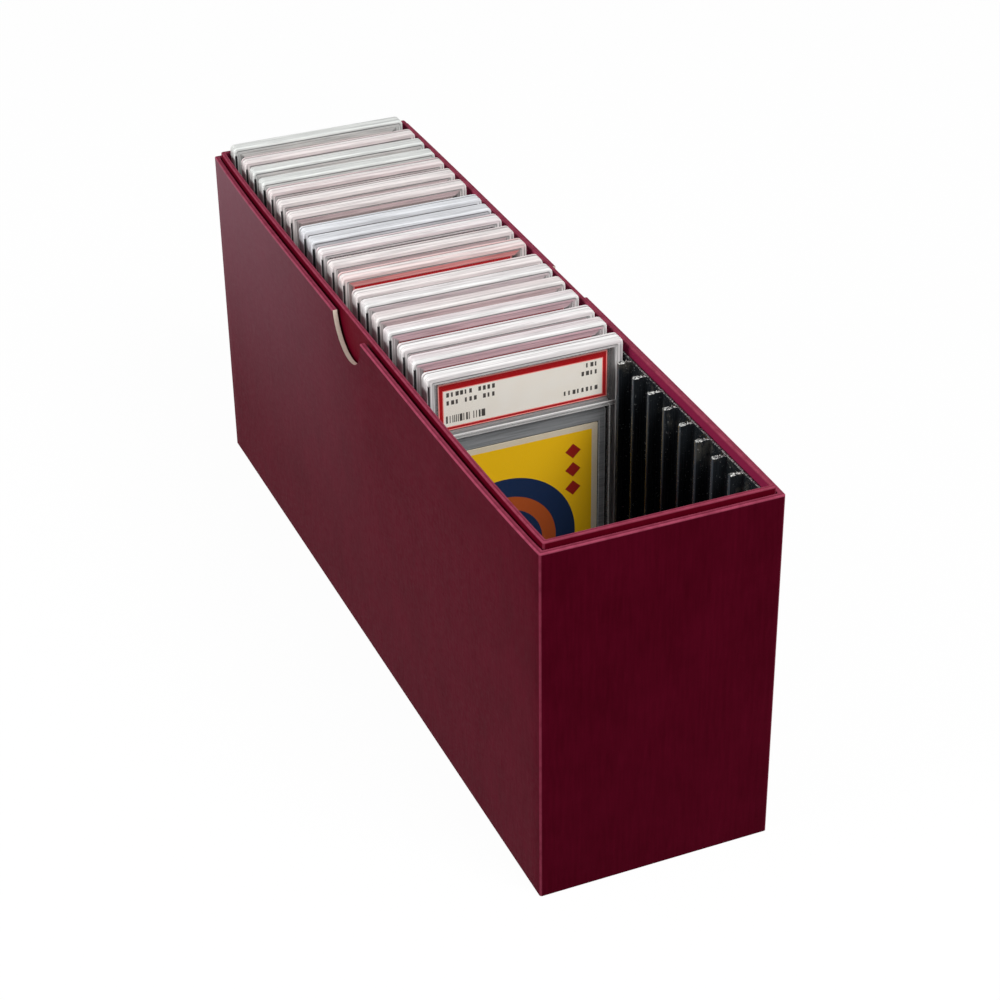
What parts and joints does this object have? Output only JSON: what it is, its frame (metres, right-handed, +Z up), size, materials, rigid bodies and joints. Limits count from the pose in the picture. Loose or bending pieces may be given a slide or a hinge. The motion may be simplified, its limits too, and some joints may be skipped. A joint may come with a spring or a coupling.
{
  "type": "graded card storage case",
  "caption": "Long paper-wrapped board box with a lift-out inner tray, slotted side strips and a row of clear card slabs on edge.",
  "frame": {"origin": "on the ground under the middle of the outer box", "axes": "+Z up, +Y along the box from the empty slots to the full ones, +X across the box"},
  "size_m": [0.0994, 0.369, 0.1594],
  "materials": {
    "outer_wrapped_board": "burgundy linen-grain paper over rigid board, satin",
    "tray_wrapped_board": "burgundy paper over rigid board, satin",
    "foam_pad": "dark closed-cell foam, matt",
    "strip_plastic": "black polystyrene, glossy",
    "clear_shell": "clear polystyrene with frosted edges",
    "clear_frame": "clear plastic frame",
    "label_paper": "cream label with a red border, coated",
    "card_stock": "printed card, semi-gloss"
  },
  "bodies": {
    "outer_box": {"outer_box_base": "outer_wrapped_board", "outer_box_wall_front": "outer_wrapped_board", "outer_box_wall_back": "outer_wrapped_board", "outer_box_wall_left": "outer_wrapped_board", "outer_box_wall_right": "outer_wrapped_board"},
    "inner_tray": {"inner_tray_base": "tray_wrapped_board", "inner_tray_wall_front": "tray_wrapped_board", "inner_tray_wall_back": "tray_wrapped_board", "inner_tray_wall_left": "tray_wrapped_board", "inner_tray_wall_right": "tray_wrapped_board", "base_pad": "foam_pad", "slot_strip_left": "strip_plastic", "slot_strip_right": "strip_plastic"},
    "slab_01": {"slab_01_front_shell": "clear_shell", "slab_01_back_shell": "clear_shell", "slab_01_card_frame": "clear_frame", "slab_01_card": "card_stock", "slab_01_label": "label_paper"},
    "slab_02": {"slab_02_front_shell": "clear_shell", "slab_02_back_shell": "clear_shell"},
    "slab_03": {"slab_03_front_shell": "clear_shell", "slab_03_back_shell": "clear_shell"},
    "slab_04": {"slab_04_front_shell": "clear_shell", "slab_04_back_shell": "clear_shell"},
    "slab_05": {"slab_05_front_shell": "clear_shell", "slab_05_back_shell": "clear_shell"},
    "slab_06": {"slab_06_front_shell": "clear_shell", "slab_06_back_shell": "clear_shell"},
    "slab_07": {"slab_07_front_shell": "clear_shell", "slab_07_back_shell": "clear_shell"},
    "slab_08": {"slab_08_front_shell": "clear_shell", "slab_08_back_shell": "clear_shell"},
    "slab_09": {"slab_09_front_shell": "clear_shell", "slab_09_back_shell": "clear_shell"},
    "slab_10": {"slab_10_front_shell": "clear_shell", "slab_10_back_shell": "clear_shell"},
    "slab_11": {"slab_11_front_shell": "clear_shell", "slab_11_back_shell": "clear_shell"},
    "slab_12": {"slab_12_front_shell": "clear_shell", "slab_12_back_shell": "clear_shell"},
    "slab_13": {"slab_13_front_shell": "clear_shell", "slab_13_back_shell": "clear_shell"},
    "slab_14": {"slab_14_front_shell": "clear_shell", "slab_14_back_shell": "clear_shell"},
    "slab_15": {"slab_15_front_shell": "clear_shell", "slab_15_back_shell": "clear_shell"},
    "slab_16": {"slab_16_front_shell": "clear_shell", "slab_16_back_shell": "clear_shell"},
    "slab_17": {"slab_17_front_shell": "clear_shell", "slab_17_back_shell": "clear_shell"},
    "slab_18": {"slab_18_front_shell": "clear_shell", "slab_18_back_shell": "clear_shell"},
    "slab_19": {"slab_19_front_shell": "clear_shell", "slab_19_back_shell": "clear_shell"}
  },
  "joints": [
    {"name": "inner_tray_lift", "type": "slide", "parent": "outer_box", "child": "inner_tray", "axis": [0, 0, 1], "range_m": [0, 0.155]},
    {"name": "slab_01_lift", "type": "slide", "parent": "inner_tray", "child": "slab_01", "axis": [0, 0, 1], "range_m": [0, 0.14]},
    {"name": "slab_02_lift", "type": "slide", "parent": "inner_tray", "child": "slab_02", "axis": [0, 0, 1], "range_m": [0, 0.14]},
    {"name": "slab_03_lift", "type": "slide", "parent": "inner_tray", "child": "slab_03", "axis": [0, 0, 1], "range_m": [0, 0.14]},
    {"name": "slab_04_lift", "type": "slide", "parent": "inner_tray", "child": "slab_04", "axis": [0, 0, 1], "range_m": [0, 0.14]},
    {"name": "slab_05_lift", "type": "slide", "parent": "inner_tray", "child": "slab_05", "axis": [0, 0, 1], "range_m": [0, 0.14]},
    {"name": "slab_06_lift", "type": "slide", "parent": "inner_tray", "child": "slab_06", "axis": [0, 0, 1], "range_m": [0, 0.14]},
    {"name": "slab_07_lift", "type": "slide", "parent": "inner_tray", "child": "slab_07", "axis": [0, 0, 1], "range_m": [0, 0.14]},
    {"name": "slab_08_lift", "type": "slide", "parent": "inner_tray", "child": "slab_08", "axis": [0, 0, 1], "range_m": [0, 0.14]},
    {"name": "slab_09_lift", "type": "slide", "parent": "inner_tray", "child": "slab_09", "axis": [0, 0, 1], "range_m": [0, 0.14]},
    {"name": "slab_10_lift", "type": "slide", "parent": "inner_tray", "child": "slab_10", "axis": [0, 0, 1], "range_m": [0, 0.14]},
    {"name": "slab_11_lift", "type": "slide", "parent": "inner_tray", "child": "slab_11", "axis": [0, 0, 1], "range_m": [0, 0.14]},
    {"name": "slab_12_lift", "type": "slide", "parent": "inner_tray", "child": "slab_12", "axis": [0, 0, 1], "range_m": [0, 0.14]},
    {"name": "slab_13_lift", "type": "slide", "parent": "inner_tray", "child": "slab_13", "axis": [0, 0, 1], "range_m": [0, 0.14]},
    {"name": "slab_14_lift", "type": "slide", "parent": "inner_tray", "child": "slab_14", "axis": [0, 0, 1], "range_m": [0, 0.14]},
    {"name": "slab_15_lift", "type": "slide", "parent": "inner_tray", "child": "slab_15", "axis": [0, 0, 1], "range_m": [0, 0.14]},
    {"name": "slab_16_lift", "type": "slide", "parent": "inner_tray", "child": "slab_16", "axis": [0, 0, 1], "range_m": [0, 0.14]},
    {"name": "slab_17_lift", "type": "slide", "parent": "inner_tray", "child": "slab_17", "axis": [0, 0, 1], "range_m": [0, 0.14]},
    {"name": "slab_18_lift", "type": "slide", "parent": "inner_tray", "child": "slab_18", "axis": [0, 0, 1], "range_m": [0, 0.14]},
    {"name": "slab_19_lift", "type": "slide", "parent": "inner_tray", "child": "slab_19", "axis": [0, 0, 1], "range_m": [0, 0.14]}
  ]
}
